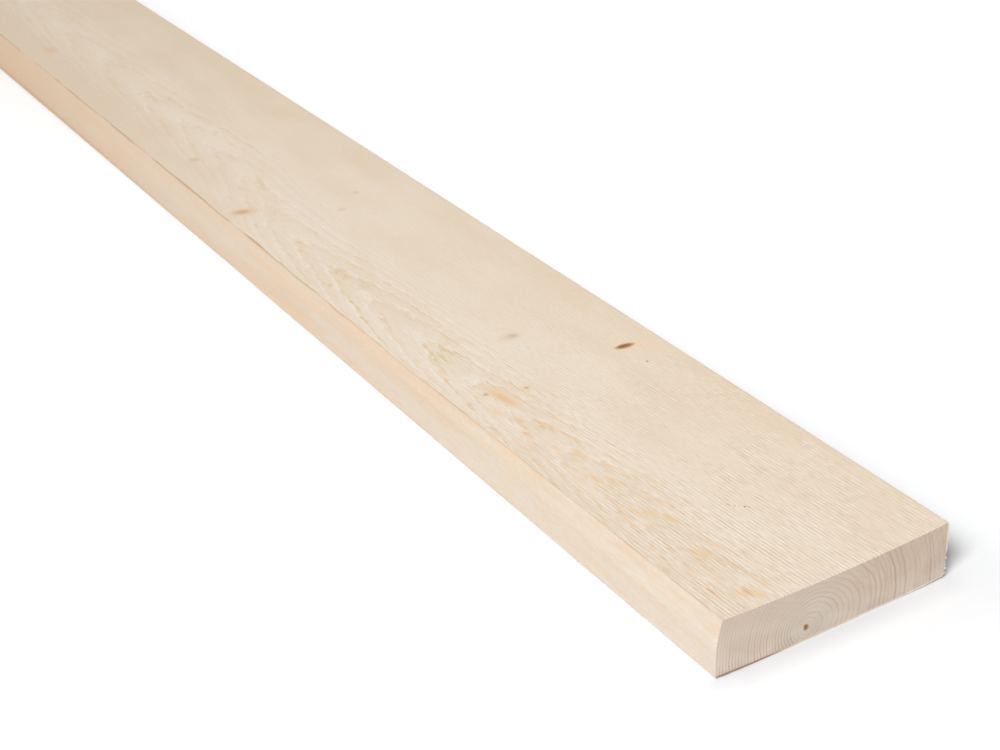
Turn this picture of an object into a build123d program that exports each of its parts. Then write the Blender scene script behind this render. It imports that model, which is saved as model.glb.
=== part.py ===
from build123d import *
import os

# A sawn softwood plank, cut beside the heart of a small spruce log.
# Millimetres. X runs along the plank, Y across it and Z up. The waney edge, where the round
# outside of the log is left, lies at -Y, and the square sawn edge at +Y.
# The origin is on the floor, under the middle of the plank.

# The sawn board
board_length = 1800.0
board_width = 100.0
edge_thickness = 22.3        # at the two long edges
middle_thickness = 21.7      # the middle dried a little thinner
arris_wear_radius = 0.4      # sharp sawn corners along the square edge, only rubbed

# The cup: drying lifted both long edges, so only a strip along the middle bears on the floor
cup_depth = 0.85             # how far the underside's edges stand off the floor
bearing_width = 40.0         # the strip along the middle that is still flat

# The waney edge: the log's own round side, which swells and falls back along its length
log_radius = 50.0
log_axis_height = 6.4        # above the floor
wane_swing = 1.5             # the most that the log stands out past the sawn board, or back from it
wane_station_shares = [
    0.0, 0.06, 0.13, 0.2, 0.27, 0.34, 0.41, 0.48, 0.55, 0.61, 0.67, 0.73, 0.79, 0.84, 0.89, 0.94, 1.0,
]
wane_swell_shares = [
    0.2, 0.5, 0.1, -0.4, -0.7, -0.3, 0.3, 0.1, -0.5, -0.8, -0.5, -0.2, 0.1, 0.6, 0.8, 0.5, 0.1,
]
log_overrun = 15.0           # how far the log's solid runs on past the faces that it must not cut

# Places across the section
left_edge = -board_width / 2
right_edge = board_width / 2
top_edge_height = cup_depth + edge_thickness


# One cut across the sawn board: flat strip to bear on, rising underside, square edges, hollow top.
def board_section():
    bearing_edge = bearing_width / 2
    with BuildLine() as outline:
        Line((-bearing_edge, 0), (bearing_edge, 0))
        TangentArc((bearing_edge, 0), (right_edge, cup_depth), tangent=(1, 0))
        Line((right_edge, cup_depth), (right_edge, top_edge_height))
        ThreePointArc(
            (right_edge, top_edge_height), (0, middle_thickness), (left_edge, top_edge_height)
        )
        Line((left_edge, top_edge_height), (left_edge, cup_depth))
        TangentArc((-bearing_edge, 0), (left_edge, cup_depth), tangent=(-1, 0))
    section = make_face(outline.line)
    square_corners = section.vertices().group_by(Axis.X)[-1]
    return fillet(square_corners, arris_wear_radius)


# One cut across the log: its round side towards -Y, carried on past the board at +Y.
def log_section(swell):
    log_axis = left_edge + log_radius - swell
    low = log_axis_height - log_radius
    high = log_axis_height + log_radius
    beyond = right_edge + log_overrun
    with BuildLine() as outline:
        ThreePointArc((log_axis, low), (log_axis - log_radius, log_axis_height), (log_axis, high))
        Polyline((log_axis, high), (beyond, high), (beyond, low), (log_axis, low))
    return make_face(outline.line)


# A section stood up across the plank, at a place along its length.
def stand_across(section, along):
    return Plane(origin=(along, 0, 0), x_dir=(0, 1, 0), z_dir=(1, 0, 0)) * section


board_start = -board_length / 2
board = extrude(stand_across(board_section(), board_start), board_length, dir=(1, 0, 0))

log_start = board_start - log_overrun
log_length = board_length + 2 * log_overrun
log = loft(
    [
        stand_across(log_section(wane_swing * swell), log_start + log_length * station)
        for station, swell in zip(wane_station_shares, wane_swell_shares)
    ]
)

# What the saw left of the log is the plank
plank = board & log
plank.label = "plank"

os.makedirs("parts", exist_ok=True)
export_step(plank, "parts/plank.step")
print("plank:", len(plank.solids()), "solid,", round(plank.volume), "mm3,", plank.bounding_box())
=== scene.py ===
import math

import bpy
import numpy as np
from mathutils import Matrix, Vector


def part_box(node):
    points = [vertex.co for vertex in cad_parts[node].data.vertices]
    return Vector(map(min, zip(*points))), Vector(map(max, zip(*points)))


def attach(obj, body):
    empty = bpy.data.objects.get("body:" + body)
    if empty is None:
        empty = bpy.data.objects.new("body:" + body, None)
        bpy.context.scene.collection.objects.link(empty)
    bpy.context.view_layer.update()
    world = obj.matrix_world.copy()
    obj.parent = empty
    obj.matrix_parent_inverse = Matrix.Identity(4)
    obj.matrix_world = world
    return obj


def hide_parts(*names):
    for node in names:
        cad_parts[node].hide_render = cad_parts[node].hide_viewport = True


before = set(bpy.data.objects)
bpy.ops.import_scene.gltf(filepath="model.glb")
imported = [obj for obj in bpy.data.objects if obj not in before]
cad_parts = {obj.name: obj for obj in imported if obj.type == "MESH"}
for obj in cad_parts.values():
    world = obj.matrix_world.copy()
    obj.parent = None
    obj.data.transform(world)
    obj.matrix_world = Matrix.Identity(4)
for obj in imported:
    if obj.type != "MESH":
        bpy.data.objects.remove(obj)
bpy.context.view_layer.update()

# The view
# The plank is seen from above its waney edge, near the end that shows the heart, through a long
# lens tilted a little. Its place is counted in plank thicknesses from that end's lower corner.
mm = 0.001
low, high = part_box("plank")
edge_thickness = 22.3 * mm
edge_lift = 0.85 * mm
lower_corner = Vector((high.x, low.y, edge_lift))
lens_place = lower_corner + edge_thickness * Vector((16.637, -12.901, 16.768))
azimuth, elevation, tilt = (math.radians(angle) for angle in (60.136, 28.941, -3.048))
film_width = 36
focal_length = 65.14
nearest_seen = 10 * mm

rightwards = Vector((math.cos(azimuth), math.sin(azimuth), 0))
backwards = Vector(
    (
        math.sin(azimuth) * math.cos(elevation),
        -math.cos(azimuth) * math.cos(elevation),
        math.sin(elevation),
    )
)
upwards = backwards.cross(rightwards)
tilted_right = math.cos(tilt) * rightwards + math.sin(tilt) * upwards
tilted_up = math.cos(tilt) * upwards - math.sin(tilt) * rightwards

view = bpy.data.objects.new("view", bpy.data.cameras.new("view"))
view.data.sensor_width = film_width
view.data.lens = focal_length
view.data.clip_start = nearest_seen
view.matrix_world = Matrix.Translation(lens_place) @ Matrix(
    (tilted_right, tilted_up, backwards)
).transposed().to_4x4()
bpy.context.scene.collection.objects.link(view)
bpy.context.scene.camera = view
bpy.context.scene.view_settings.view_transform = "Standard"

# The floor and the light
# A white studio floor, which the camera sees as a clean white ground that keeps a soft shadow.
# One broad lamp stands off the waney edge and the heart end, and the white room fills in the rest.
floor_half_size = 12
floor_drop = 0.1 * mm
floor_white = (0.909, 0.919, 0.932)
taken_by_shade = (-0.92, -0.87, -0.8)
contact_reach = 13 * mm
contact_shade = 0.05
contact_shade_by_end = 0.19
lift_beside_plank = 0.04
lift_further_out = 0.5
lift_grows_over = 80 * mm
lift_by_waney_edge = 0.1
lift_behind_plank = 0.13
lift_round_far_end = 0.05
lift_over_room = 0.5
room_starts, room_reached = 0.3, 1.5
room_light = 0.3
lamp_size = 1.1
lamp_power = 43
lamp_spread = math.radians(127)
lamp_place = Vector((high.x + 0.93, -1.79, 2.22))
lamp_target = Vector((high.x - 0.45, 0, 0))


class Amount:
    """A number or place that changes from point to point, so that sums are written as on paper."""

    def __init__(self, tree, socket):
        self.tree, self.socket = tree, socket

    def worked(self, operation, *others):
        node = self.tree.nodes.new("ShaderNodeMath")
        node.operation = operation
        for socket, value in zip(node.inputs, (self, *others)):
            feed(self.tree, socket, value)
        return Amount(self.tree, node.outputs[0])

    def __add__(self, other):
        return self.worked("ADD", other)

    def __sub__(self, other):
        return self.worked("SUBTRACT", other)

    def __mul__(self, other):
        return self.worked("MULTIPLY", other)

    def __truediv__(self, other):
        return self.worked("DIVIDE", other)

    def between(self, start, stop, at_start=0.0, at_stop=1.0):
        """Eases from at_start to at_stop while this amount goes from start to stop."""
        node = self.tree.nodes.new("ShaderNodeMapRange")
        node.interpolation_type = "SMOOTHSTEP"
        node.inputs["From Min"].default_value = start
        node.inputs["From Max"].default_value = stop
        node.inputs["To Min"].default_value = at_start
        node.inputs["To Max"].default_value = at_stop
        feed(self.tree, node.inputs["Value"], self)
        return Amount(self.tree, node.outputs["Result"])

    def parts(self):
        """The three numbers along X, Y and Z."""
        node = self.tree.nodes.new("ShaderNodeSeparateXYZ")
        feed(self.tree, node.inputs[0], self)
        return [Amount(self.tree, output) for output in node.outputs]


def feed(tree, socket, value):
    if isinstance(value, Amount):
        tree.links.new(value.socket, socket)
    else:
        socket.default_value = value


# 1 for what goes straight to the eye, or to it by a mirror, and 0 for light on its way to the wood
def seen_share(tree):
    path = tree.nodes.new("ShaderNodeLightPath")
    ways = ("Is Camera Ray", "Is Glossy Ray", "Is Transmission Ray")
    straight, mirrored, through = (Amount(tree, path.outputs[way]) for way in ways)
    return straight.worked("MAXIMUM", mirrored).worked("MAXIMUM", through)


floor_paint = bpy.data.materials.new("white_floor")
floor_paint.use_nodes = True
tree = floor_paint.node_tree
tree.nodes.clear()
spot_x, spot_y, _ = Amount(tree, tree.nodes.new("ShaderNodeNewGeometry").outputs["Position"]).parts()
past_ends = spot_x.worked("ABSOLUTE").worked("SUBTRACT", high.x).worked("MAXIMUM", 0)
past_edges = spot_y.worked("ABSOLUTE").worked("SUBTRACT", high.y).worked("MAXIMUM", 0)
distance = (past_ends * past_ends + past_edges * past_edges).worked("SQRT")

# The floor glows for the camera, least beside the plank and up to white further out; as painted
# light it glows a little more by the waney edge, behind the plank and round its far end.
spread = (distance / lift_grows_over).worked("MINIMUM", 1)
lift = spread * spread * (lift_further_out - lift_beside_plank)
lift = lift + distance.between(room_starts, room_reached) * lift_over_room + lift_beside_plank
by_waney_edge = spot_y.between(low.y - 3 * mm, low.y + 12 * mm, 1, 0)
by_waney_edge = by_waney_edge * distance.between(20 * mm, 120 * mm, 1, 0)
behind = spot_y.between(0, high.y) * spot_x.between(high.x - 20 * mm, high.x - 450 * mm)
round_far_end = spot_x.between(0, low.x) * spread * spread
lift = lift + by_waney_edge * lift_by_waney_edge
lift = lift + behind * lift_behind_plank + round_far_end * lift_round_far_end

# Painted shadow: where the plank stands on the floor, the floor's white is darkened softly, most of all
# under the heart end.
past_end = spot_x.between(high.x - 6 * mm, high.x + 1 * mm)
less_by_square_edge = spot_y.between(0, high.y + 10 * mm, 1, 0.5)
until_square_edge = spot_y.between(high.y - 5 * mm, high.y + 10 * mm, 1, 0)
less_by_waney_edge = spot_y.between(low.y, 0, 0.75, 1)
by_end = past_end * less_by_square_edge * until_square_edge * less_by_waney_edge
painted_shadow = distance.between(0, contact_reach, 1, 0) * (by_end * contact_shade_by_end + contact_shade)
matt = tree.nodes.new("ShaderNodeBsdfDiffuse")
shaded_white = tree.nodes.new("ShaderNodeVectorMath")
shaded_white.operation = "MULTIPLY_ADD"
shaded_white.inputs[0].default_value = taken_by_shade
feed(tree, shaded_white.inputs[1], painted_shadow)
shaded_white.inputs[2].default_value = floor_white
tree.links.new(shaded_white.outputs[0], matt.inputs["Color"])
glow = tree.nodes.new("ShaderNodeEmission")
feed(tree, glow.inputs["Strength"], lift * seen_share(tree))
both = tree.nodes.new("ShaderNodeAddShader")
tree.links.new(matt.outputs[0], both.inputs[0])
tree.links.new(glow.outputs[0], both.inputs[1])
tree.links.new(both.outputs[0], tree.nodes.new("ShaderNodeOutputMaterial").inputs["Surface"])

corners = ((-1, -1), (1, -1), (1, 1), (-1, 1))
floor_mesh = bpy.data.meshes.new("studio_floor")
floor_mesh.from_pydata(
    [(x * floor_half_size, y * floor_half_size, -floor_drop) for x, y in corners], [], [(0, 1, 2, 3)]
)
floor_mesh.materials.append(floor_paint)
studio_floor = bpy.data.objects.new("studio_floor", floor_mesh)
bpy.context.scene.collection.objects.link(studio_floor)

room = bpy.data.worlds.new("studio_room")
room.use_nodes = True
tree = room.node_tree
walls = tree.nodes["Background"]
walls.inputs["Color"].default_value = (1, 1, 1, 1)
feed(tree, walls.inputs["Strength"], seen_share(tree).between(0, 1, room_light, 1))
bpy.context.scene.world = room

lamp = bpy.data.objects.new("softbox", bpy.data.lights.new("softbox", "AREA"))
lamp.data.shape = "SQUARE"
lamp.data.size = lamp_size
lamp.data.energy = lamp_power
lamp.data.spread = lamp_spread
lamp.location = lamp_place
lamp.rotation_euler = (lamp_target - lamp_place).to_track_quat("-Z", "Y").to_euler()
bpy.context.scene.collection.objects.link(lamp)

# The plank's shape
# One length sawn from a small spruce log beside its heart: ribbed by the saw on both faces and on
# the square edge, smooth and round on the waney edge, and cross-cut at both ends.
length = high.x - low.x
width = high.y - low.y
middle_thickness = 21.7 * mm
bearing_half = 20 * mm
arris_wear = 0.4 * mm
log_radius = 50 * mm
log_axis_height = 6.4 * mm
wane_swing = 1.5 * mm
log_overrun = 15 * mm
wane_station_shares = [
    0.0, 0.06, 0.13, 0.2, 0.27, 0.34, 0.41, 0.48, 0.55, 0.61, 0.67, 0.73, 0.79, 0.84, 0.89, 0.94, 1.0,
]
wane_swell_shares = [
    0.2, 0.5, 0.1, -0.4, -0.7, -0.3, 0.3, 0.1, -0.5, -0.8, -0.5, -0.2, 0.1, 0.6, 0.8, 0.5, 0.1,
]
rib_pitch = 1.53 * mm
rib_depth = 0.038 * mm
rib_skew = 0.051
rib_fading = [
    (0, 1), (0.022, 1), (0.033, 0.85), (0.044, 0.6), (0.06, 0.33), (0.45, 0.2), (0.6, 0.5), (1, 0.9),
]
rib_share_across = [(20 * mm, 0.7), (50 * mm, 1), (60 * mm, 1), (92 * mm, 0.4)]
saw_wave_depth = 0.08 * mm
edge_rib_depth = 0.07 * mm
under_rib_depth = 0.08 * mm
waney_dent_depth = 0.12 * mm
long_arris_wear = 0.35 * mm
short_arris_wear = 0.6 * mm
least_arris_wear = 0.06 * mm
waney_arris_round = 0.07 * mm
corner_drop = 1.3 * arris_wear
under_inset = 2.2 * arris_wear
under_width = width - 2.5 * arris_wear
rows_per_rib = 4
whole_ribs_from = 5
rows_to_whole_ribs = 16
rows_up_square_edge = 14
rows_under = 50
rows_up_waney_edge = 26
cuts_along = 237
closer_near_ends = 0.65
torn_depth = 0.25 * mm
chip_depth = 0.85 * mm
chip_top = 13 * mm
chip_length = 5 * mm
broken_depth = 0.5 * mm
broken_length = 4 * mm
broken_top = 1.8 * mm
saw_cut_inset = 0.6 * mm
sharp_from = math.radians(32)
top_edge_height = edge_lift + edge_thickness
top_sag = top_edge_height - middle_thickness
top_radius = (width * width / 4 + top_sag * top_sag) / (2 * top_sag)
under_rise = width / 2 - bearing_half
under_radius = (under_rise**2 + edge_lift**2) / (2 * edge_lift)


# Smooth random lumps from 0 to 1 over the plank, of these sizes along and across it. They cover
# more than its width, because the ribs run askew.
def lumps(along, across, long_size, wide_size, seed):
    rng = np.random.default_rng(seed)
    columns = int(length / long_size) + 4
    covered = 2.5 * width
    rows = int(covered / wide_size) + 4
    heights = rng.uniform(0, 1, (columns, rows))
    u, v = along / long_size, across / wide_size
    i, j = u.astype(int), v.astype(int)
    du, dv = u % 1, v % 1
    du, dv = du * du * (3 - 2 * du), dv * dv * (3 - 2 * dv)
    near = heights[i, j] * (1 - dv) + heights[i, j + 1] * dv
    far = heights[i + 1, j] * (1 - dv) + heights[i + 1, j + 1] * dv
    return near * (1 - du) + far * du


# A smooth curve through the log's swellings, with the slope at each taken from its neighbours.
def swelling(x):
    stations = (np.array(wane_station_shares) - 0.5) * (length + 2 * log_overrun)
    swells = np.array(wane_swell_shares) * wane_swing
    slopes = np.gradient(swells, stations)
    k = np.clip(np.searchsorted(stations, x) - 1, 0, len(stations) - 2)
    gap = stations[k + 1] - stations[k]
    t = (x - stations[k]) / gap
    return (
        swells[k] * (1 + 2 * t) * (1 - t) ** 2
        + slopes[k] * gap * t * (1 - t) ** 2
        + swells[k + 1] * t * t * (3 - 2 * t)
        - slopes[k + 1] * gap * t * t * (1 - t)
    )


def top_height(y):
    return middle_thickness + top_radius - np.sqrt(top_radius * top_radius - y * y)


def under_height(y):
    out = np.maximum(np.abs(y) - bearing_half, 0)
    return under_radius - np.sqrt(under_radius**2 - out * out)


def waney_side(height, swell):
    round_side = low.y + log_radius - swell - np.sqrt(log_radius**2 - (height - log_axis_height) ** 2)
    return np.maximum(round_side, low.y)


steps = np.linspace(0, 1, cuts_along)
cut_x = low.x + length * (steps - closer_near_ends * np.sin(2 * np.pi * steps) / (2 * np.pi))
from_end = high.x - cut_x[:, None]
swell = swelling(cut_x)[:, None]
rib_strength = np.interp(from_end / length, *zip(*rib_fading))

# The top: its first rows follow the wandering waney arris and the rest are evenly spaced, four to a
# rib. The ribs run a little askew, are deepest at the heart end, and break off here and there.
arris_z = top_height(waney_side(top_edge_height, swell))
long_wear = long_arris_wear * lumps(from_end, 0 * from_end, 16 * mm, 10 * mm, seed=3) ** 2
short_wear = short_arris_wear * lumps(from_end, 0 * from_end, 5 * mm, 10 * mm, seed=4) ** 2
waney_arris = waney_side(arris_z, swell) + least_arris_wear + (long_wear + short_wear)
first_rib_row = whole_ribs_from * rows_per_rib
last_rib_row = int((width - corner_drop) / rib_pitch * rows_per_rib)
rib_rows = low.y + rib_pitch / rows_per_rib * np.arange(first_rib_row, last_rib_row + 1)[None, :]
share = np.linspace(0, 1, rows_to_whole_ribs, endpoint=False)[None, :]
top_y = np.hstack([waney_arris + (rib_rows[0, 0] - waney_arris) * share, rib_rows + 0 * swell])
top_across = top_y - low.y
rib_row = (top_across + rib_skew * from_end) / rib_pitch
ribs = 0.5 - 0.5 * np.cos(2 * np.pi * rib_row)
patches = 0.25 + 0.75 * lumps(from_end, top_across, 18 * mm, 6 * mm, seed=11)
patches = patches * np.interp(top_across, *zip(*rib_share_across))
broken = 0.3 + 0.9 * lumps(from_end, rib_row * rib_pitch, 4 * mm, rib_pitch, seed=12)
fibres = lumps(from_end, top_across, 11 * mm, 0.5 * mm, seed=13) * 0.35
waves = lumps(from_end, top_across, 90 * mm, 9 * mm, seed=14)
top_z = top_height(top_y) - saw_wave_depth * waves
top_z = top_z - rib_depth * rib_strength * (ribs * patches * broken + fibres)

# The square edge, with its two rubbed corners and a chip out of its lower corner at the heart end
turn = np.linspace(0, np.pi / 2, 4)[None, :]
arc_y = high.y - arris_wear + arris_wear * np.sin(turn) + 0 * swell
arc_top_z = top_edge_height - corner_drop + arris_wear * np.cos(turn)
edge_share = np.linspace(1, 0, rows_up_square_edge + 2)[None, 1:-1]
edge_bottom, edge_top = edge_lift + arris_wear, top_edge_height - corner_drop
edge_z = edge_bottom + (edge_top - edge_bottom) * edge_share
arc_low_z = edge_bottom - arris_wear * np.cos(turn[:, ::-1])
square_y = np.hstack([arc_y[:, 1:], high.y + 0 * edge_z * swell, arc_y[:, ::-1]])
square_z = np.hstack([arc_top_z[:, 1:], edge_z, arc_low_z]) + 0 * swell
edge_ribs = 0.5 - 0.5 * np.cos(2 * np.pi * square_z / (2 * rib_pitch))
edge_patches = lumps(from_end, square_z, 40 * mm, 2 * mm, seed=21)
square_y = square_y - edge_rib_depth * edge_ribs * edge_patches
chip_share = np.clip(1 - square_z / chip_top, 0, 1)
chip = np.clip(1 - from_end / chip_length, 0, 1) * chip_share * (2 - chip_share)
broken_corner = np.clip(1 - from_end / broken_length, 0, 1) * np.clip(1.4 - square_z / broken_top, 0, 1)
square_y = square_y - chip_depth * chip - broken_depth * broken_corner

# The underside, with the flat strip that bears on the floor
under_share = np.linspace(0, 1, rows_under)[None, :]
under_y = high.y - under_inset - under_width * under_share + 0 * swell
under_ribs = under_rib_depth * lumps(from_end, under_y - low.y, 60 * mm, 2 * mm, seed=31)
under_z = under_height(under_y) + under_ribs * (np.abs(under_y) > bearing_half)

# The waney edge, smooth under the bark, with low swellings and the odd dent
wane_share = np.linspace(0, 1, rows_up_waney_edge)[None, :]
wane_z = edge_lift + (arris_z - waney_arris_round - edge_lift) * wane_share
wane_dents = lumps(from_end, wane_z, 60 * mm, 6 * mm, seed=41)
wane_dents = wane_dents + 0.5 * lumps(from_end, wane_z, 9 * mm, 2 * mm, seed=42)
wane_y = waney_side(wane_z, swell) + waney_dent_depth * wane_dents * np.sin(np.pi * wane_share)

girth_y = np.hstack([top_y, square_y, under_y, wane_y])
girth_z = np.hstack([top_z, square_z, under_z, wane_z])
rows_round = girth_y.shape[1]
first_waney_row = rows_round - rows_up_waney_edge

# Each end: the girth's torn outer line, then a clean saw cut just inside it
rng = np.random.default_rng(51)
girth_x = np.repeat(cut_x[:, None], rows_round, axis=1)
girth_x[0] += rng.uniform(0, torn_depth, rows_round)
girth_x[-1] -= rng.uniform(0, torn_depth, rows_round)
points = [np.stack([girth_x, girth_y, girth_z], -1).reshape(-1, 3)]
here = np.arange(cuts_along - 1)[:, None] * rows_round + np.arange(rows_round)
beside = np.arange(cuts_along - 1)[:, None] * rows_round + np.roll(np.arange(rows_round), -1)
long_faces = np.stack([here, here + rows_round, beside + rows_round, beside], -1).reshape(-1, 4)
faces = long_faces.tolist()

middle_y, middle_z = (low.y + high.y) / 2, (low.z + high.z) / 2
for cut, end_x in ((0, low.x), (cuts_along - 1, high.x)):
    inner_y = middle_y + (girth_y[cut] - middle_y) * (1 - saw_cut_inset / (width / 2))
    inner_z = middle_z + (girth_z[cut] - middle_z) * (1 - saw_cut_inset / (edge_thickness / 2))
    start = sum(len(group) for group in points)
    points.append(np.stack([np.full(rows_round, end_x), inner_y, inner_z], -1))
    outer = cut * rows_round + np.arange(rows_round)
    inner = start + np.arange(rows_round)
    rim = np.stack([outer, np.roll(outer, -1), np.roll(inner, -1), inner], -1)
    faces += (rim[:, ::-1] if cut else rim).tolist()
    faces.append((inner[::-1] if cut else inner).tolist())

points = np.vstack(points)
plank_mesh = bpy.data.meshes.new("sawn_plank")
plank_mesh.from_pydata(points.tolist(), [], faces)
plank_mesh.update()
sawn_plank = bpy.data.objects.new("sawn_plank", plank_mesh)
bpy.context.scene.collection.objects.link(sawn_plank)

# Which wood each face shows: 0 the sawn faces, 1 the waney edge, 2 the end grain
kinds = np.full(len(faces), 2)
kinds[: len(long_faces)] = np.arange(len(long_faces)) % rows_round >= first_waney_row - 1
plank_mesh.polygons.foreach_set("material_index", kinds)
plank_mesh.polygons.foreach_set("use_smooth", np.ones(len(faces), bool))
plank_mesh.set_sharp_from_angle(angle=sharp_from)

# The flat map that a picture of the finish is laid on: the girth unrolled in two strips, one for
# each half of the length, with most room for the top, and the two ends side by side above them
top_enlarged = 2.2
strip_inset, strip_start_up, strip_pitch, strip_height = 0.004, 0.005, 0.46, 0.45
ends_start_up, ends_inset, ends_pitch, end_wide, end_high = 0.925, 0.01, 0.5, 0.47, 0.07
room_for_row = np.hypot(
    np.diff(girth_y[cuts_along // 2], append=girth_y[cuts_along // 2, 0]),
    np.diff(girth_z[cuts_along // 2], append=girth_z[cuts_along // 2, 0]),
)
room_for_row[: top_y.shape[1]] *= top_enlarged
row_share = np.concatenate([[0], np.cumsum(room_for_row)]) / room_for_row.sum()
half = (cuts_along - 1) // 2
cut_of_face, row_of_face = np.divmod(np.arange(len(long_faces)), rows_round)
strip = (cut_of_face >= half).astype(int)
strip_start = np.where(strip, cut_x[half], low.x)
along_strip = [(cut_x[cut_of_face + step] - strip_start) / (length / 2) for step in (0, 1)]
up_strip = [row_share[row_of_face + step] for step in (0, 1)]
flat = np.empty((len(long_faces), 4, 2))
for corner, (step_along, step_round) in enumerate(((0, 0), (1, 0), (1, 1), (0, 1))):
    flat[:, corner, 0] = strip_inset + (1 - 2 * strip_inset) * along_strip[step_along]
    flat[:, corner, 1] = strip_start_up + strip_pitch * strip + strip_height * up_strip[step_round]

loop_points = np.empty(len(plank_mesh.loops), int)
plank_mesh.loops.foreach_get("vertex_index", loop_points)
end_points = points[loop_points[flat.size // 2 :]]
flat_ends = np.empty((len(end_points), 2))
flat_ends[:, 0] = ends_inset + ends_pitch * (end_points[:, 0] < 0)
flat_ends[:, 0] += end_wide * (end_points[:, 1] - low.y) / width
flat_ends[:, 1] = ends_start_up + end_high * (end_points[:, 2] - low.z) / (high.z - low.z)
flat_map = plank_mesh.uv_layers.new(name="OFBake")
flat_map.uv.foreach_set("vector", np.vstack([flat.reshape(-1, 2), flat_ends]).ravel())


# The sawn faces
# Pale cream spruce. The log's rings come out on these faces as nested arches that point to the far
# end, thin and tan, with orange flecks where a ring only grazes the face between the saw's ribs.
def tone(*levels):
    shares = (level / 255 for level in levels)
    return (*(s / 12.92 if s < 0.04045 else ((s + 0.055) / 1.055) ** 2.4 for s in shares), 1)


wood_shine = 0.25


class Wood:
    """A wood finish in the making. Places are told from the heart end, waney edge and floor."""

    def __init__(self, name):
        self.material = bpy.data.materials.new(name)
        self.material.use_nodes = True
        self.tree = self.material.node_tree
        self.shader = self.tree.nodes["Principled BSDF"]
        self.place = Amount(self.tree, self.tree.nodes.new("ShaderNodeTexCoord").outputs["Object"])
        x, y, self.up = self.place.parts()
        self.along = x * -1 + high.x
        self.across = y - low.y

    def lumps(self, long_size, wide_size, deep_size, detail=1.0, shift=0.0):
        """Soft lumps, mostly from 0.3 to 0.7, of these sizes along, across and up the plank."""
        scaled = self.tree.nodes.new("ShaderNodeVectorMath")
        scaled.operation = "MULTIPLY_ADD"
        feed(self.tree, scaled.inputs[0], self.place)
        scaled.inputs[1].default_value = (1 / long_size, 1 / wide_size, 1 / deep_size)
        scaled.inputs[2].default_value = (shift, 0.7 * shift, 1.3 * shift)
        return self.noise_at(scaled, detail)

    def lumps_over(self, x, y, z):
        """Soft lumps, mostly from 0.3 to 0.7, one to a step of these three amounts."""
        spot = self.tree.nodes.new("ShaderNodeCombineXYZ")
        for socket, value in zip(spot.inputs, (x, y, z)):
            feed(self.tree, socket, value)
        return self.noise_at(spot, 1.0)

    def noise_at(self, place_node, detail):
        noise = self.tree.nodes.new("ShaderNodeTexNoise")
        self.tree.links.new(place_node.outputs[0], noise.inputs["Vector"])
        noise.inputs["Scale"].default_value = 1
        noise.inputs["Detail"].default_value = detail
        return Amount(self.tree, noise.outputs[0])

    def oval(self, along, across, half_long, half_wide, turn=0, soft=0.5, half_deep=5, up=22):
        """1 in an egg-shaped spot of these half sizes in mm, turned in degrees, and 0 beyond it."""
        node = self.tree.nodes.new("ShaderNodeMapping")
        node.vector_type = "TEXTURE"
        node.inputs["Location"].default_value = (high.x - along * mm, low.y + across * mm, up * mm)
        node.inputs["Rotation"].default_value = (0, 0, math.radians(turn))
        node.inputs["Scale"].default_value = (half_long * mm, half_wide * mm, half_deep * mm)
        feed(self.tree, node.inputs["Vector"], self.place)
        reach = self.tree.nodes.new("ShaderNodeVectorMath")
        reach.operation = "LENGTH"
        self.tree.links.new(node.outputs[0], reach.inputs[0])
        return Amount(self.tree, reach.outputs["Value"]).between(1, 1 - soft)

    def curve(self, amount, points):
        """Reads a line drawn through these (place, value) points, both from 0 to 1."""
        node = self.tree.nodes.new("ShaderNodeFloatCurve")
        line = node.mapping.curves[0]
        line.points[0].location, line.points[-1].location = points[0], points[-1]
        for point in points[1:-1]:
            line.points.new(*point)
        node.mapping.update()
        feed(self.tree, node.inputs["Value"], amount)
        return Amount(self.tree, node.outputs[0])

    def mixed(self, share, first, second):
        node = self.tree.nodes.new("ShaderNodeMix")
        node.data_type = "RGBA"
        share_socket, first_socket, second_socket = (node.inputs[number] for number in (0, 6, 7))
        feed(self.tree, share_socket, share)
        feed(self.tree, first_socket, first)
        feed(self.tree, second_socket, second)
        return Amount(self.tree, node.outputs[2])

    def early_wood(self, count):
        """From 0 to 1 in the pale first spring wood that borders each autumn line."""
        season = count - count.worked("FLOOR")
        return season.between(0.0, 0.12) * season.between(0.12, 0.4, 1.0, 0.0)

    def late_wood(self, count, starts, weakest):
        """From 0 in spring wood to 1 in each year's thin autumn line, darker in some years."""
        year = count.worked("FLOOR")
        season = count - year
        noise = self.tree.nodes.new("ShaderNodeTexWhiteNoise")
        noise.noise_dimensions = "1D"
        feed(self.tree, noise.inputs["W"], year)
        strength = Amount(self.tree, noise.outputs["Value"]).between(0, 1, weakest, 1.0)
        darkest = 0.92
        return season.between(starts, darkest) * season.between(darkest, 1.0, 1.0, 0.0) * strength

    def finished(self, colour, roughness, height, bump_depth):
        feed(self.tree, self.shader.inputs["Base Color"], colour)
        feed(self.tree, self.shader.inputs["Roughness"], roughness)
        self.shader.inputs["Specular IOR Level"].default_value = wood_shine
        bump = self.tree.nodes.new("ShaderNodeBump")
        bump.inputs["Distance"].default_value = bump_depth
        feed(self.tree, bump.inputs["Height"], height)
        self.tree.links.new(bump.outputs[0], self.shader.inputs["Normal"])
        return self.material


# Down the plank, how far across it the heart lies, and how far under its top, both as shares
heart_line = [
    (0, 0.2), (0.18, 0.195), (0.22, 0.25), (0.26, 0.35),
    (0.36, 0.4), (0.5, 0.46), (0.7, 0.48), (1, 0.4),
]
heart_dip = [
    (0, 0.32), (0.036, 0.387), (0.064, 0.447), (0.099, 0.507), (0.147, 0.567),
    (0.21, 0.657), (0.33, 0.79), (0.55, 0.9), (0.8, 0.72), (1, 0.5),
]
heart_deepest = 60 * mm
ring_width = 1.8 * mm
first_ring = 0.47

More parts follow.
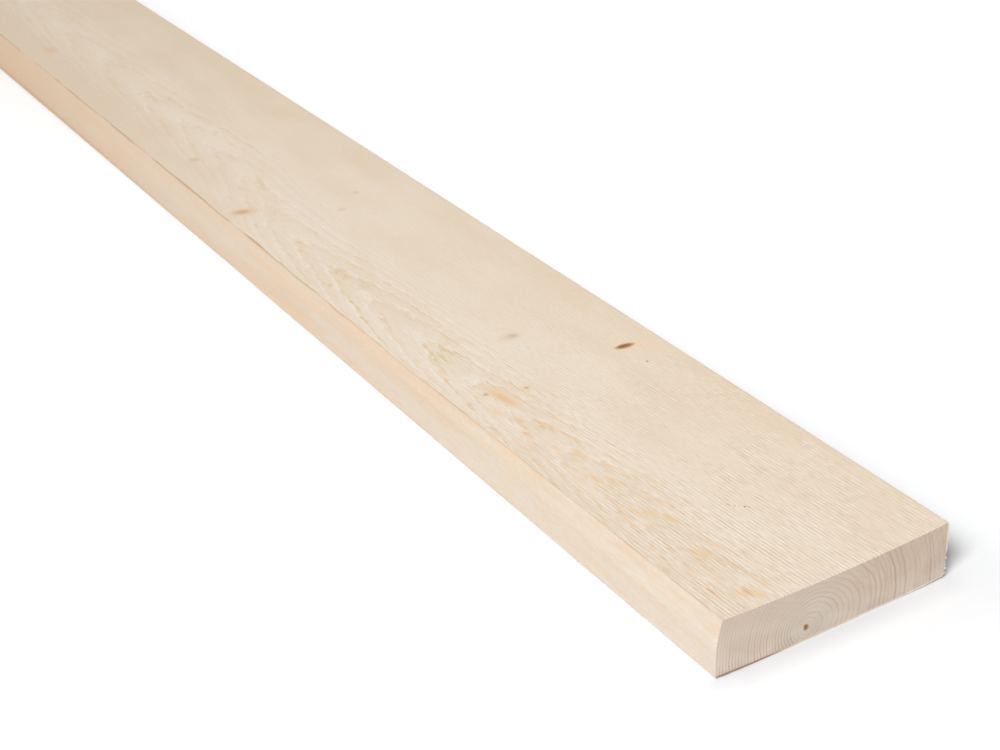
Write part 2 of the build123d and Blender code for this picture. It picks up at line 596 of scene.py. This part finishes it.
# The saw's ribs, counted across the plank, and the dashes that each rib breaks into
sawn = Wood("sawn_faces")
down_plank = sawn.along / length
ribs_across = (sawn.across + sawn.along * rib_skew) / rib_pitch
rib_number = (ribs_across + 0.5).worked("FLOOR")
crest = ((ribs_across - rib_number) * (2 * math.pi)).worked("COSINE")
off_square_edge = sawn.across.between(99.2 * mm, 99.7 * mm, 1, 0)
rib_look = sawn.curve(down_plank, rib_fading) * sawn.across.between(60 * mm, 92 * mm, 1, 0.4)
rib_look = rib_look * off_square_edge
worn = sawn.across.between(20 * mm, 50 * mm, 0.72, 1)
dashes = sawn.lumps_over(sawn.along / (8 * mm), rib_number * 1.7, 0.3)
short_dashes = sawn.lumps_over(sawn.along / (3 * mm), rib_number * 1.7, 5.3)
clouds = sawn.lumps(45 * mm, 16 * mm, 16 * mm, shift=3)
streaks = sawn.lumps(70 * mm, 4 * mm, 4 * mm, detail=2, shift=9)
blotches = sawn.lumps(9 * mm, 3 * mm, 4 * mm, shift=12)
tufts = sawn.lumps(18 * mm, 7 * mm, 7 * mm, shift=15)
fine = sawn.lumps(6 * mm, 0.36 * mm, 0.5 * mm, detail=2, shift=2)

# The rings, counted out from the log's heart, which waver and bend round the two nearest knots
heart_across = sawn.curve(down_plank, heart_line) * width
over_heart = sawn.across - heart_across
above_heart = sawn.curve(down_plank, heart_dip) * heart_deepest + (sawn.up - top_edge_height)
reach = (over_heart * over_heart + above_heart * above_heart).worked("SQRT")
wander = (sawn.lumps(50 * mm, 9 * mm, 10 * mm) - 0.5) * 0.8
wander = wander + (sawn.lumps(9 * mm, 2.5 * mm, 4 * mm, shift=5) - 0.5) * 0.8
wander = wander + (sawn.lumps(4 * mm, 1.3 * mm, 3 * mm, shift=25) - 0.5) * 0.35
round_knots = sawn.oval(172, 84, 26, 9, soft=1) * 0.8 + sawn.oval(397, 12, 22, 9, soft=1) * 0.7
jagged = ((dashes - 0.5) * 0.35 + crest * 0.05) * rib_look
count = reach / ring_width + wander + round_knots + jagged + first_ring
late = sawn.late_wood(count, 0.62, 0.5)
early = sawn.early_wood(count)
arches = over_heart.worked("ABSOLUTE").between(8 * mm, 32 * mm, 1.0, 0.2)

# The ground colour, warmest by the square edge and further down the length
cream, warm_cream = tone(239, 224, 205), tone(231, 212, 187)
gold, straw, orange = tone(232, 198, 150), tone(226, 200, 156), tone(236, 186, 132)
pale_fibre_and_highlight, groove_shade = tone(252, 245, 234), tone(203, 184, 159)
gold_groove_shade = tone(205, 182, 148)
side_to_side = [
    (0, 0.55), (0.1, 0.45), (0.2, 0.45), (0.3, 0.3), (0.38, 0.1),
    (0.5, 0.25), (0.65, 0.4), (0.8, 0.5), (0.93, 0.8), (1, 0.9),
]
down_waney_side = [(0, 0.5), (0.07, 0.35), (0.11, 0), (0.2, 0.15), (0.25, 0.6), (0.36, 0.9), (1, 0.7)]
by_waney_side = sawn.across.between(35 * mm, 5 * mm) * (sawn.curve(down_plank, down_waney_side) - 0.5)
warmth = sawn.curve(sawn.across / width, side_to_side) + by_waney_side
warmth = warmth + (clouds - 0.5) * 1.1 + (streaks - 0.5) * 0.35 + sawn.along.between(0.4, 0.65, 0, 0.3)
colour = sawn.mixed(warmth, cream, warm_cream)

# The arches: tan lines with pale spring wood beside them, and orange flecks where a line grazes
patchy = blotches.between(0.4, 0.6, 0.3, 1)
ring_colour = sawn.mixed(sawn.along.between(0.09, 0.2), gold, straw)
thinner = sawn.along.between(0.09, 0.16, 0.6, 1)
in_grooves = (crest.between(0.6, -0.6) - 1) * rib_look * 0.7 + 1
flush = sawn.late_wood(count, 0.25, 0.5) * sawn.along.between(0.16, 0.08)
further = sawn.along.between(0.3, 0.42)
colour = sawn.mixed(flush * arches * patchy * in_grooves * 0.45, colour, gold)
rings = late * arches * patchy * in_grooves * (further * -0.3 + 0.9) * thinner
colour = sawn.mixed(rings, colour, ring_colour)
pale_share = sawn.along.between(0.05, 0.2, 0.15, 0.4) - further * 0.25
colour = sawn.mixed(early * arches * patchy * pale_share, colour, pale_fibre_and_highlight)
nearer = sawn.along.between(0.06, 0.3, 1.0, 0.15)
flecks = late * arches * blotches.between(0.5, 0.62) * dashes.between(0.38, 0.55) * in_grooves
colour = sawn.mixed(flecks * nearer * thinner * 0.7, colour, orange)

# The ribs' crests and grooves, with a painted highlight on the crests and painted shade in the
# grooves besides the fibres' own colour; the fuzz and nicks on them, and the finest grain
comb = rib_look * worn * (dashes.between(0.3, 0.65) + 0.2) * tufts.between(0.3, 0.6, 0.4, 1)
# Painted highlight on the rib crests, partly the raised fibres' own paleness
colour = sawn.mixed(crest.between(0.3, 1) * comb * 0.2, colour, pale_fibre_and_highlight)
rib_shade = sawn.mixed(sawn.across.between(22 * mm, 40 * mm), gold_groove_shade, groove_shade)
# Painted shade in the rib grooves, golden by the waney edge and greyer beyond
colour = sawn.mixed(crest.between(-0.2, -0.95) * comb * 0.35, colour, rib_shade)
tufted = tufts.between(0.42, 0.58)
fuzz = off_square_edge * crest.between(-0.1, 0.8) * short_dashes.between(0.48, 0.66) * tufted
colour = sawn.mixed(fuzz * nearer * worn * 0.4, colour, pale_fibre_and_highlight)
nicks = off_square_edge * crest.between(0.2, -0.7) * short_dashes.between(0.5, 0.34) * tufted
colour = sawn.mixed(nicks * nearer * worn * 0.35, colour, rib_shade)
grained = rib_look * 0.6 + nearer * 0.3 + arches * 0.15 - further * 0.1
colour = sawn.mixed(fine.between(0.52, 0.75) * grained * 0.6, colour, pale_fibre_and_highlight)
colour = sawn.mixed(fine.between(0.48, 0.25) * grained * 0.65, colour, groove_shade)

# Knots and marks: place along and across in mm, half sizes in mm, turn, colour, strength, softness
halo, warm_halo, golden_halo = (242, 210, 174), (242, 214, 186), (244, 206, 164)
resin, amber, deep_amber = (238, 202, 154), (236, 188, 132), (230, 178, 122)
amber_streak, amber_line, olive = (218, 164, 110), (206, 158, 108), (192, 164, 120)
smudge, smudge_heart, small_brown = (226, 200, 170), (206, 174, 140), (176, 136, 106)
tan_halo, tan_heart = (236, 208, 172), (206, 168, 130)
pin_halo, pin_end, pin_rim = (240, 206, 168), (236, 206, 170), (226, 180, 140)
pin_neck, pin_tail, pin_heart = (222, 180, 140), (208, 166, 126), (170, 122, 84)
pale_far, far_knot, far_knot_heart = (240, 214, 184), (226, 186, 148), (206, 164, 126)
soft_far, softer_far, small_far = (230, 202, 172), (228, 202, 170), (230, 196, 160)
broad_far, side_far = (226, 192, 160), (224, 190, 156)
faint, grey_faint = (216, 195, 162), (210, 192, 162)
knot_ring, knot_tan = (224, 188, 150), (174, 130, 92)
knot_brown, knot_heart = (156, 112, 72), (112, 78, 50)
marks = [
    (172.4, 84.4, 6, 8.5, 0, halo, 0.8, 0.9),
    (163, 94, 9, 6, 0, warm_halo, 0.6, 1),
    (170.5, 89.5, 4, 5, 0, golden_halo, 0.6, 1),
    (172.4, 84.2, 2.5, 5.6, -10, knot_brown, 0.9, 0.6),
    (172.8, 83.6, 1, 4, -10, knot_heart, 0.75, 0.9),
    (156.3, 84, 0.8, 0.7, 0, small_brown, 0.8, 0.6),
    (208.6, 50.5, 5, 8, 0, smudge, 0.7, 1),
    (208.6, 52.4, 3, 3.4, 0, smudge_heart, 0.55, 1),
    (167.5, 32.8, 3.5, 5, 0, tan_halo, 0.7, 1),
    (167.3, 33.2, 1.6, 1.4, 30, tan_heart, 0.8, 0.9),
    (166.6, 21.2, 15.5, 5, 8.5, resin, 0.7, 1),
    (164.6, 20.9, 12.5, 2.8, 8.5, amber, 0.45, 0.9),
    (171.4, 16.8, 1.9, 1.8, 0, olive, 0.75, 0.9),
    (157, 13, 9, 4, 12, resin, 0.35, 1),
    (146, 17, 3.4, 1.8, 0, amber, 0.55, 0.9),
    (49.6, 50.8, 2, 1.8, 0, pin_halo, 0.6, 0.8),
    (49.9, 50.5, 0.6, 0.6, 0, pin_heart, 0.85, 0.6),
    (48.8, 51.6, 0.9, 0.7, 0, pin_rim, 0.7, 0.8),
    (51.3, 49, 1.2, 0.9, 0, pin_end, 0.6, 1),
    (52.3, 47.8, 0.5, 1, 20, pin_neck, 0.7, 0.8),
    (54.3, 46.5, 2.2, 0.5, 14, pin_tail, 0.7, 0.8),
    (35, 20.4, 7, 4, 10, resin, 0.8, 1),
    (40, 17.4, 6, 2, 10, amber, 0.5, 1),
    (38, 26.8, 6, 1.3, 10, resin, 0.8, 0.9),
    (28, 12, 7, 2.6, 10, resin, 0.45, 1),
    (14.4, 9.4, 4.6, 1.1, 4, deep_amber, 0.8, 0.9),
    (15.4, 9.6, 4, 0.35, 4, amber_line, 0.7, 0.8),
    (8.9, 17.1, 5.5, 1.9, 6, resin, 0.8, 1),
    (6.1, 21.8, 5.5, 3.2, 6, resin, 0.75, 1),
    (8.2, 19.2, 5, 0.5, 5, amber_streak, 0.8, 0.8),
    (10.2, 26.5, 5.5, 1.2, 6, amber, 0.75, 0.9),
    (58.5, 24.6, 6, 2, 10, resin, 0.9, 1),
    (65, 20.6, 5, 2.4, 10, resin, 0.8, 1),
    (68.5, 17, 7, 2.2, 10, resin, 0.9, 1),
    (57, 14.2, 5, 1.4, -12, resin, 0.7, 1),
    (70, 27.2, 6, 1.1, 10, amber, 0.5, 1),
    (90.5, 27.6, 5, 1.1, 10, amber, 0.5, 1),
    (92, 22, 5.5, 2.4, 10, resin, 0.85, 1),
    (96, 17.4, 7, 2.2, 8, resin, 0.85, 1),
    (89, 13.8, 4, 1.3, -12, resin, 0.6, 1),
    (109, 14, 4, 1.2, -10, resin, 0.6, 1),
    (114, 22.6, 6.5, 2.4, 10, resin, 0.75, 1),
    (120.6, 17.4, 5, 1.8, 8, resin, 0.65, 1),
    (124, 27, 4, 1, 8, amber, 0.6, 1),
    (127, 9.6, 9, 1.2, -6, resin, 0.6, 1),
    (396, 13, 8, 11, -5, pale_far, 0.6, 1),
    (395, 17, 6, 21, -5, pale_far, 0.5, 1),
    (396.5, 13, 6, 10, -8, far_knot, 0.7, 1),
    (396.5, 12.6, 4, 5.6, -8, far_knot_heart, 0.6, 1),
    (385, 69.6, 3, 2.6, 0, grey_faint, 0.5, 1),
    (475.7, 21, 4.5, 4, 0, side_far, 0.7, 1),
    (700, 20.3, 10, 7, 0, broad_far, 0.65, 1),
    (308, 22.4, 7, 3.2, 5, soft_far, 0.7, 1),
    (287, 22.8, 5, 2.2, 5, softer_far, 0.5, 1),
    (348, 20, 2.6, 2.4, 0, small_far, 0.6, 0.8),
    (297, 11, 2.2, 2, 0, faint, 0.5, 0.8),
    (371, 54.4, 3.5, 4, 0, faint, 0.5, 1),
    (426, 36.5, 15, 2.2, -13, faint, 0.45, 0.8),
    (1004, 34, 7, 9, 0, knot_ring, 0.8, 0.8),
    (1004, 34, 4, 5, 0, knot_brown, 0.9, 0.4),
    (1292, 68, 6, 7, 0, knot_ring, 0.8, 0.8),
    (1292, 68, 3, 3.6, 0, knot_brown, 0.9, 0.4),
    (1560, 45, 8, 9, 0, knot_ring, 0.8, 0.8),
    (1560, 45, 4.5, 5, 0, knot_tan, 0.85, 0.4),
]
ribbed_until = 130
far_half_from = 1000
skin_deep, right_through = 5, 60
for along, across, half_long, half_wide, turn, shade, strength, soft in marks:
    deep = right_through if along > far_half_from else skin_deep
    spot = sawn.oval(along, across, half_long, half_wide, turn, soft, deep)
    # Broad marks near the heart end lie mostly in the grooves between the ribs.
    if half_wide > 1 and along < ribbed_until:
        spot = spot * (in_grooves * 0.6 + 0.4) * (dashes.between(0.3, 0.5) * 0.6 + 0.4)
    colour = sawn.mixed(spot * strength, colour, tone(*shade))
sawn_height = fine + fuzz * 0.4 + crest * comb * 0.15
sawn_faces = sawn.finished(colour, fine.between(0.25, 0.75, 0.85, 0.72), sawn_height, 0.1 * mm)

# The waney edge
# The wood just under the bark, which no saw has touched: smooth, creamy by the heart end and more
# peach coloured beyond, with broad soft flames where it follows a ring. Its arris is darker in lengths.
creamy, peach, far_tan = tone(216, 206, 191), tone(211, 189, 165), tone(208, 180, 150)
flame, flame_rim, under_arris = tone(216, 187, 157), tone(208, 180, 148), tone(211, 185, 156)
pale_patch, tan_patch = tone(217, 203, 187), tone(212, 185, 159)
pale_hair, tan_hair = tone(226, 216, 202), tone(204, 180, 152)
streak_tan, dapple_tan = tone(222, 184, 146), tone(218, 190, 156)
pale_mottle, tan_mottle = tone(228, 214, 196), tone(208, 186, 156)
near_arris_line, far_arris_line = tone(218, 180, 140), tone(188, 152, 120)
worn_rim = tone(208, 174, 142)
peach_down_edge = [(0, 0.0), (0.06, 0.15), (0.13, 0.45), (0.2, 0.6), (0.35, 0.85), (1, 0.7)]
arris_line_down_edge = [(0, 0.1), (0.02, 0.3), (0.08, 0.35), (0.11, 0.5), (0.15, 0.85), (0.4, 1), (1, 0.7)]

under_bark = Wood("under_bark")
down_edge = under_bark.along / length
flames = under_bark.lumps(110 * mm, 20 * mm, 7 * mm, shift=4)
soft = under_bark.lumps(50 * mm, 14 * mm, 4 * mm, detail=2, shift=8)
hairs = under_bark.lumps(7 * mm, 0.9 * mm, 0.6 * mm, detail=2, shift=6)
drop = (under_bark.up - top_edge_height) * -1
lower = (drop + under_bark.along * 0.012).between(1.2 * mm, 4 * mm)
peachy = under_bark.curve(down_edge, peach_down_edge)
colour = under_bark.mixed(peachy, creamy, peach)
flaming = flames.between(0.46, 0.56) * lower * (peachy * 0.6 + 0.2)
colour = under_bark.mixed(flaming, colour, flame)
contour = flames.between(0.44, 0.47) * flames.between(0.5, 0.47)
colour = under_bark.mixed(contour * lower * 0.15, colour, flame_rim)
colour = under_bark.mixed(drop.between(9 * mm, 3 * mm) * 0.3, colour, under_arris)
colour = under_bark.mixed((soft - 0.42) * (peachy * -0.7 + 1.0), colour, pale_patch)
colour = under_bark.mixed(soft.between(0.48, 0.35) * 0.25, colour, tan_patch)

# Fine hairs, streaks under the arris, dapples and mottles, fainter down the length
fading = under_bark.along.between(0.1, 0.4, 1, 0.4)
colour = under_bark.mixed(hairs.between(0.56, 0.78) * fading * 0.3, colour, pale_hair)
colour = under_bark.mixed(hairs.between(0.44, 0.26) * fading * 0.2, colour, tan_hair)
streak_place = under_bark.lumps(12 * mm, 9 * mm, 2.6 * mm, shift=11).between(0.5, 0.66)
streaky = drop.between(4 * mm, 0.5 * mm) * under_bark.along.between(0.12, 0.25, 0.5, 0.15)
colour = under_bark.mixed(streak_place * streaky, colour, streak_tan)
dapple = under_bark.lumps(14 * mm, 10 * mm, 1.8 * mm, detail=2, shift=21)
colour = under_bark.mixed(dapple.between(0.5, 0.66) * fading * 0.35, colour, dapple_tan)
mottle = under_bark.lumps(3 * mm, 3 * mm, 1.2 * mm, detail=2, shift=31)
colour = under_bark.mixed(mottle.between(0.5, 0.7) * fading * 0.2, colour, pale_mottle)
colour = under_bark.mixed(mottle.between(0.5, 0.3) * fading * 0.16, colour, tan_mottle)

# A darker line in lengths along the arris, and the worn lower rim
arris_line_lengths = under_bark.lumps(30 * mm, 20 * mm, 20 * mm, shift=2)
arris_line_place = under_bark.curve(down_edge, arris_line_down_edge)
arris_line_colour = under_bark.mixed(under_bark.along.between(0.12, 0.25), near_arris_line, far_arris_line)
arris_line = (drop - (arris_line_lengths - 0.35) * 2.2 * mm).between(0.8 * mm, 0)
arris_line = arris_line * arris_line_lengths.between(0.4, 0.55, 0.2, 1)
colour = under_bark.mixed(arris_line * arris_line_place * 0.6, colour, arris_line_colour)
edge_wear = under_bark.lumps(12 * mm, 9 * mm, 9 * mm).between(0.45, 0.6)
edge_wear = edge_wear * under_bark.along.between(0.01, 0.04)
edge_wear = edge_wear * under_bark.along.between(0.4, 0.55, 0.3, 0)
edge_wear = edge_wear * under_bark.up.between(2.0 * mm, 1.1 * mm)
colour = under_bark.mixed(edge_wear, colour, worn_rim)
colour = under_bark.mixed(under_bark.along.between(0.45, 0.75) * 0.55, colour, far_tan)
waney_wood = under_bark.finished(colour, hairs.between(0.25, 0.75, 0.72, 0.62), hairs, 0.05 * mm)

# The end grain
# The cross cut shows every ring whole round the heart, whose soft pith is brown. The cut ends of
# the fibres drink the light, so this face is greyer than the others.
pith_across, pith_across_far_end = 37.4 * mm, 46.4 * mm
pith_up, pith_up_far_end = 5.5 * mm, -5.5 * mm
end_ring_width = 1.66 * mm
right_through_log = 1
waney_side_grey, square_side_grey = tone(219, 202, 185), tone(215, 196, 177)
pale_low, pale_round_heart, cloud_tan = tone(236, 221, 205), tone(217, 205, 188), tone(206, 187, 167)
autumn_line, hard_line = tone(172, 148, 124), tone(172, 138, 108)
grey_high, pale_grit = tone(196, 176, 160), tone(232, 220, 204)
pith_rim, pith_brown = tone(196, 148, 106), tone(140, 104, 82)
brown_arris, pale_arris_highlight, white_arris_highlight = tone(176, 122, 84), tone(252, 226, 188), tone(255, 246, 226)
lit_corner = tone(244, 234, 218)
hard_years = [
    (23.4, 0.2), (28.4, 0.25), (30.4, 0.15), (32.5, 0.25), (34.2, 0.2), (35.8, 0.25), (37.4, 0.15),
    (39.2, 0.45), (41.3, 0.15), (43.6, 0.25), (48.6, 0.2), (53.6, 0.2), (55.2, 0.45),
]

cross_cut = Wood("end_grain")
down_log = cross_cut.along / length
over_pith = cross_cut.across - (down_log * (pith_across_far_end - pith_across) + pith_across)
above_pith = cross_cut.up - (down_log * (pith_up_far_end - pith_up) + pith_up)
reach = (over_pith * over_pith + above_pith * above_pith).worked("SQRT")
count = (reach - over_pith * 0.28) / end_ring_width
count = count + cross_cut.lumps(right_through_log, 26 * mm, 26 * mm, shift=1) * 1.4
count = count + cross_cut.lumps(right_through_log, 3 * mm, 3 * mm) * 0.45
late = cross_cut.late_wood(count, 0.6, 0.4) * reach.between(2.5 * mm, 7 * mm, 0.3, 1)
beyond_pith = over_pith.between(-6 * mm, 6 * mm)
fainter_beyond_pith = beyond_pith * cross_cut.up.between(4 * mm, 14 * mm, 0.55, 0.1)
late = late * (cross_cut.up.between(3 * mm, 14 * mm, 0.85, 0.6) - fainter_beyond_pith)
grit = cross_cut.lumps(right_through_log, 0.35 * mm, 0.35 * mm, detail=2)
cloud = cross_cut.lumps(right_through_log, 14 * mm, 9 * mm, shift=2)
colour = cross_cut.mixed(cross_cut.across.between(30 * mm, 75 * mm), waney_side_grey, square_side_grey)
colour = cross_cut.mixed(cross_cut.up.between(10 * mm, 2 * mm) * 0.4, colour, pale_low)
colour = cross_cut.mixed(reach.between(17 * mm, 6 * mm) * 0.7, colour, pale_round_heart)
colour = cross_cut.mixed(cloud.between(0.42, 0.62) * 0.35, colour, cloud_tan)
colour = cross_cut.mixed(late, colour, autumn_line)

# The hard years that stand out beyond the pith, each by its radius in mm and its strength
wavering = reach + (cloud - 0.5) * 1.6 * mm
for radius, strength in hard_years:
    year = (wavering - radius * mm).worked("ABSOLUTE").between(0.55 * mm, 0.1 * mm)
    colour = cross_cut.mixed(year * beyond_pith * strength, colour, hard_line)
colour = cross_cut.mixed(cross_cut.up.between(9 * mm, 20 * mm) * 0.35, colour, grey_high)
colour = cross_cut.mixed(grit.between(0.55, 0.75) * 0.2, colour, pale_grit)

# The brown pith, and painted light on the rims
pith = reach + (cross_cut.lumps(right_through_log, 1.5 * mm, 1.5 * mm) - 0.5) * 1.2 * mm
colour = cross_cut.mixed(pith.between(1.55 * mm, 1.1 * mm) * 0.85, colour, pith_rim)
colour = cross_cut.mixed(pith.between(1.15 * mm, 0.5 * mm) * 0.85, colour, pith_brown)
# A line along the lower arris: brown by the waney edge, a pale painted highlight by the square edge
bearing_out = ((cross_cut.across - width / 2).worked("ABSOLUTE") - bearing_half).worked("MAXIMUM", 0)
over_floor = cross_cut.up - bearing_out * bearing_out / (2 * under_radius)
arris_colour = cross_cut.mixed(cross_cut.across.between(20 * mm, 34 * mm), brown_arris, pale_arris_highlight)
arris_colour = cross_cut.mixed(cross_cut.across.between(50 * mm, 75 * mm), arris_colour, white_arris_highlight)
colour = cross_cut.mixed(over_floor.between(1.0 * mm, 0.4 * mm) * 0.85, colour, arris_colour)
# A painted highlight up the square edge of the cut
lit_edge = cross_cut.across.between(98.8 * mm, 99.6 * mm)
lit_edge = lit_edge * cross_cut.up.between(4 * mm, 14 * mm, 0.4, 0.9)
colour = cross_cut.mixed(lit_edge, colour, lit_corner)
end_grain = cross_cut.finished(colour, grit.between(0.25, 0.75, 0.9, 0.8), grit - late * 0.3, 0.05 * mm)

for wood in (sawn_faces, waney_wood, end_grain):
    plank_mesh.materials.append(wood)
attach(sawn_plank, "root")
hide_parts("plank")

# The torn fibres
# Splinters that the saws pulled loose: a tuft in the chip at the heart end, a fringe under the waney
# edge and a few at the upright corner. Each is a thin closed wedge, rooted in the plank and bent.
fibre_sides = 4
fibre_steps = 5
fibre_thickness = 0.3 * mm
thick_fibre = 1.2 * fibre_thickness
root_depth = 0.12
clearance = 0.01 * mm
chip_tuft = [(1.7, 0.9), (2.9, -1.2), (3.6, 1.1), (5.0, -1.5), (5.5, 0.5), (6.9, -0.8), (9.0, -1.4)]
fringe_count = 26
fringe_height = 1.1
corner_heights = (13.7, 15.2, 16.4)
rng = np.random.default_rng(61)
fibre_points, fibre_faces = [], []


def add_fibre(root, way_out, bend, thickness):
    """One wedge from its root, way_out to its tip and bent on the way there, all in mm."""
    root, way_out, bend = (np.array(place) * mm for place in (root, way_out, bend))
    girth_way = np.cross(way_out, (0.3, 0.2, 0.9))
    girth_way = girth_way / np.linalg.norm(girth_way)
    other_way = np.cross(way_out / np.linalg.norm(way_out), girth_way)
    start = len(fibre_points)
    for step in range(fibre_steps):
        share = step / fibre_steps
        half = thickness / 2 * (1 - 0.7 * share)
        for turn in np.arange(fibre_sides) * 2 * np.pi / fibre_sides:
            centre = root + way_out * share + bend * share * (1 - share)
            fibre_points.append(centre + half * (np.cos(turn) * girth_way + np.sin(turn) * other_way))
    fibre_points.append(root + way_out)
    tip = len(fibre_points) - 1
    for step in range(fibre_steps):
        for side in range(fibre_sides):
            a = start + step * fibre_sides + side
            b = start + step * fibre_sides + (side + 1) % fibre_sides
            if step + 1 < fibre_steps:
                fibre_faces.append((a, b, b + fibre_sides, a + fibre_sides))
            else:
                fibre_faces.append((a, b, tip))
    fibre_faces.append(tuple(start + side for side in reversed(range(fibre_sides))))


# Each fibre of the tuft starts in the hollow of the chip, at its height in mm, and leans up or down.
end_mm, edge_mm = high.x / mm, high.y / mm
for up, way_up in chip_tuft:
    back = rng.uniform(0.05, 0.3)
    share = 1 - up * mm / chip_top
    hollow = chip_depth / mm * (1 - back * mm / chip_length) * share * (2 - share)
    root = (end_mm - back, edge_mm - hollow - 0.15, up)
    way_out = (rng.uniform(0, back), hollow + 0.14, way_up)
    add_fibre(root, way_out, (0, 0, rng.uniform(-0.8, 0.8)), thick_fibre)
for _ in range(fringe_count):
    x = high.x - rng.uniform(6, 85) * mm
    side = waney_side(fringe_height * mm, swelling(np.array([x])))[0] / mm
    root = (x / mm, side + root_depth, fringe_height)
    way_out = (rng.uniform(-2.4, 2.4), rng.uniform(-0.3, -0.1), rng.uniform(-0.95, -0.5))
    add_fibre(root, way_out, (0, 0, rng.uniform(-0.4, 0.6)), fibre_thickness)
for up in corner_heights:
    side = waney_side(up * mm, swelling(np.array([high.x])))[0] / mm
    way_out = (rng.uniform(-0.9, 0.3), -0.6, rng.uniform(-0.7, 0.9))
    add_fibre((end_mm - 0.4, side + root_depth, up), way_out, (0, 0, 0.3), thick_fibre)

# No fibre stands past the plank's own ends and edges, or in the floor.
fibre_points = np.array(fibre_points)
fibre_points[:, 0] = np.minimum(fibre_points[:, 0], high.x - clearance)
fibre_points[:, 1] = np.clip(fibre_points[:, 1], low.y + clearance, high.y - clearance)
fibre_points[:, 2] = np.maximum(fibre_points[:, 2], 2 * clearance)
fibre_mesh = bpy.data.meshes.new("torn_fibres")
fibre_mesh.from_pydata(fibre_points.tolist(), [], fibre_faces)
fibre_mesh.update()
torn_fibres = bpy.data.objects.new("torn_fibres", fibre_mesh)
bpy.context.scene.collection.objects.link(torn_fibres)

# Nearly white fibres: partly the torn wood's own paleness, partly painted light for the light they let
# through
pale_splinter, tan_splinter = tone(253, 249, 242), tone(244, 232, 212)
pulled = Wood("torn_fibres")
curls = pulled.lumps(3 * mm, 3 * mm, 3 * mm)
colour = pulled.mixed(curls.between(0.35, 0.65), pale_splinter, tan_splinter)
fibre_mesh.materials.append(pulled.finished(colour, 0.8, curls, 0.01 * mm))
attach(torn_fibres, "root")
